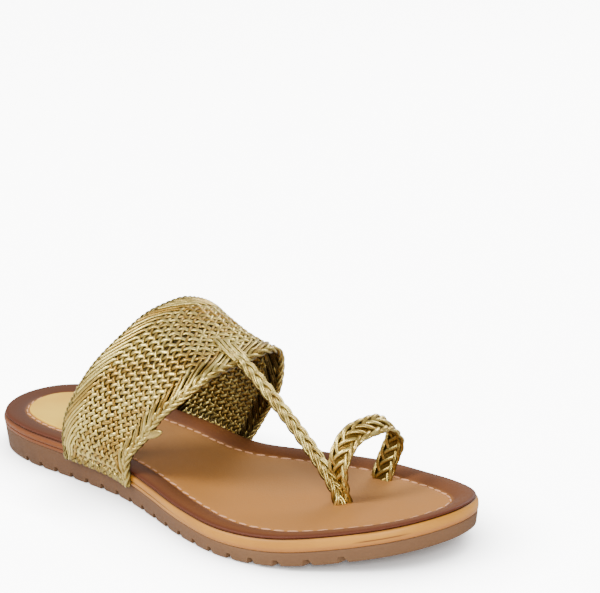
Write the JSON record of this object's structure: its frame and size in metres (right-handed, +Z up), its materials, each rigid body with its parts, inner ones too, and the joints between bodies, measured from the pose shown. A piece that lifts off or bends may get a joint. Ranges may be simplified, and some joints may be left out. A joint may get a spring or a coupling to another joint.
{
  "type": "kolhapuri sandal",
  "caption": "Flat open sandal for the right foot with a woven metallic leather band over the instep, a plaited strap and a toe loop on a layered sole.",
  "frame": {"origin": "middle of the sandal's bounding box, on the ground", "axes": "+X along the sole to the toe, +Y to the inner side of the foot, +Z up"},
  "size_m": [0.25, 0.0896, 0.0717],
  "materials": {
    "outsole_rubber": "matte taupe moulded rubber",
    "honey_edge": "honey coloured waxed edge",
    "tan_leather": "tan leather with a burnished brown rim and cream stitching",
    "pale_leather": "pale cream leather",
    "gold_leather": "hand plaited strips of metallic gold leather"
  },
  "bodies": {
    "root": {"outsole": "outsole_rubber", "midsole": "honey_edge", "footbed": "tan_leather", "heel_patch": "pale_leather", "upper": "gold_leather"}
  },
  "joints": []
}
